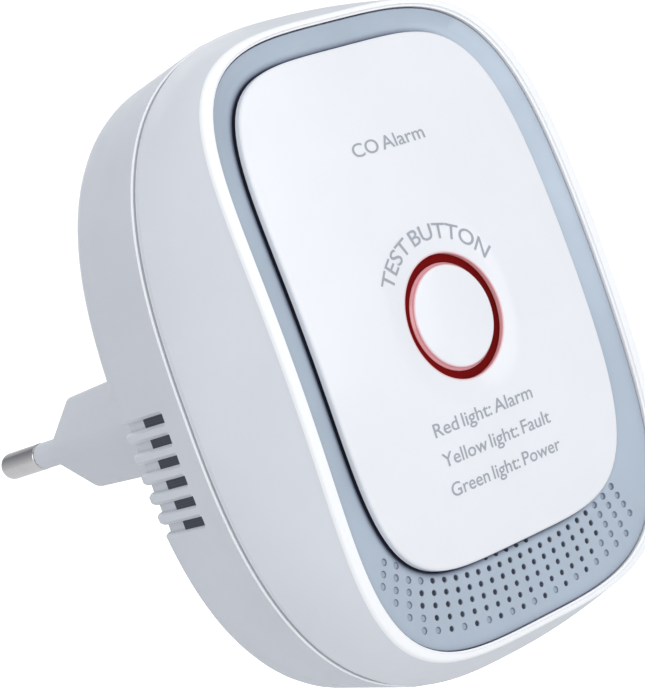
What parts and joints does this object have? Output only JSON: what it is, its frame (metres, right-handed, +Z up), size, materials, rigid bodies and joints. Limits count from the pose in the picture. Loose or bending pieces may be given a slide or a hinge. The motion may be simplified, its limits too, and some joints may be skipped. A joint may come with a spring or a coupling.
{
  "type": "carbon monoxide detector",
  "caption": "Plug-in carbon monoxide alarm: rounded white case with a grey-blue sound grille, a round test button in a red light ring, side vents and a two-pin mains plug at the back.",
  "frame": {"origin": "centre of the plug's end face, midway between the two pins", "axes": "+Y runs along the pins into the socket, +Z is up on the wall, +X is to the right of someone facing the front"},
  "size_m": [0.067, 0.0926, 0.087],
  "materials": {
    "case_white": "fine satin moulded ABS, slightly cool white",
    "plate_white": "smooth white, soft gloss",
    "bezel_blue": "satin grey-blue with a faint pearl",
    "ring_red": "translucent dark red light guide",
    "plug_white": "satin light grey-white",
    "nickel": "bright nickel plate with fine turning marks",
    "brass": "plain stamped brass",
    "steel": "zinc-plated steel",
    "board_green": "solder-masked circuit board",
    "black_plastic": "moulded black plastic",
    "ferrite": "sintered ferrite, matt dark grey",
    "coil_tape": "yellow winding tape",
    "film_yellow": "moulded capacitor box",
    "can_sleeve": "shrink sleeve on an aluminium can",
    "varistor_blue": "dipped epoxy",
    "live_brown": "insulated lead",
    "neutral_blue": "insulated lead",
    "lamp_red": "tinted lamp lens",
    "lamp_yellow": "tinted lamp lens",
    "lamp_green": "tinted lamp lens"
  },
  "bodies": {
    "case": {"rear_cover": "case_white", "front_housing": "case_white", "grille_bezel": "bezel_blue", "front_plate": "plate_white", "light_ring": "ring_red", "plug_body": "plug_white", "pin_left": "nickel", "pin_right": "nickel", "pin_sleeve_left": "plug_white", "pin_sleeve_right": "plug_white", "contact_lug_live": "brass", "contact_lug_neutral": "brass", "mains_lead_live": "live_brown", "mains_lead_neutral": "neutral_blue", "main_board": "board_green", "power_board": "board_green", "switch_body": "black_plastic", "lamp_red": "lamp_red", "lamp_yellow": "lamp_yellow", "lamp_green": "lamp_green", "buzzer_case": "black_plastic", "buzzer_disc": "brass", "gas_sensor": "steel", "sensor_filter_cap": "black_plastic", "controller_chip": "black_plastic", "board_connector": "black_plastic", "transformer_core": "ferrite", "transformer_coil": "coil_tape", "bulk_capacitor_1": "can_sleeve", "bulk_capacitor_2": "can_sleeve", "filter_capacitor": "film_yellow", "fuse": "black_plastic", "varistor": "varistor_blue", "board_screw_1": "steel", "board_screw_2": "steel", "board_screw_3": "steel", "case_screw_1": "steel", "case_screw_2": "steel", "case_screw_3": "steel", "case_screw_4": "steel"},
    "button": {"test_button": "plate_white"},
    "plunger": {"switch_plunger": "plate_white"}
  },
  "joints": [
    {"name": "button_press", "type": "slide", "parent": "case", "child": "button", "axis": [0, 1, 0], "range_m": [0, 0.0005], "stiffness_N_per_m": 800},
    {"name": "plunger_press", "type": "slide", "parent": "case", "child": "plunger", "axis": [0, 1, 0], "range_m": [0, 0.0005]}
  ],
  "couplings": [
    {"joint": "plunger_press", "follows": "button_press", "ratio": 1}
  ]
}
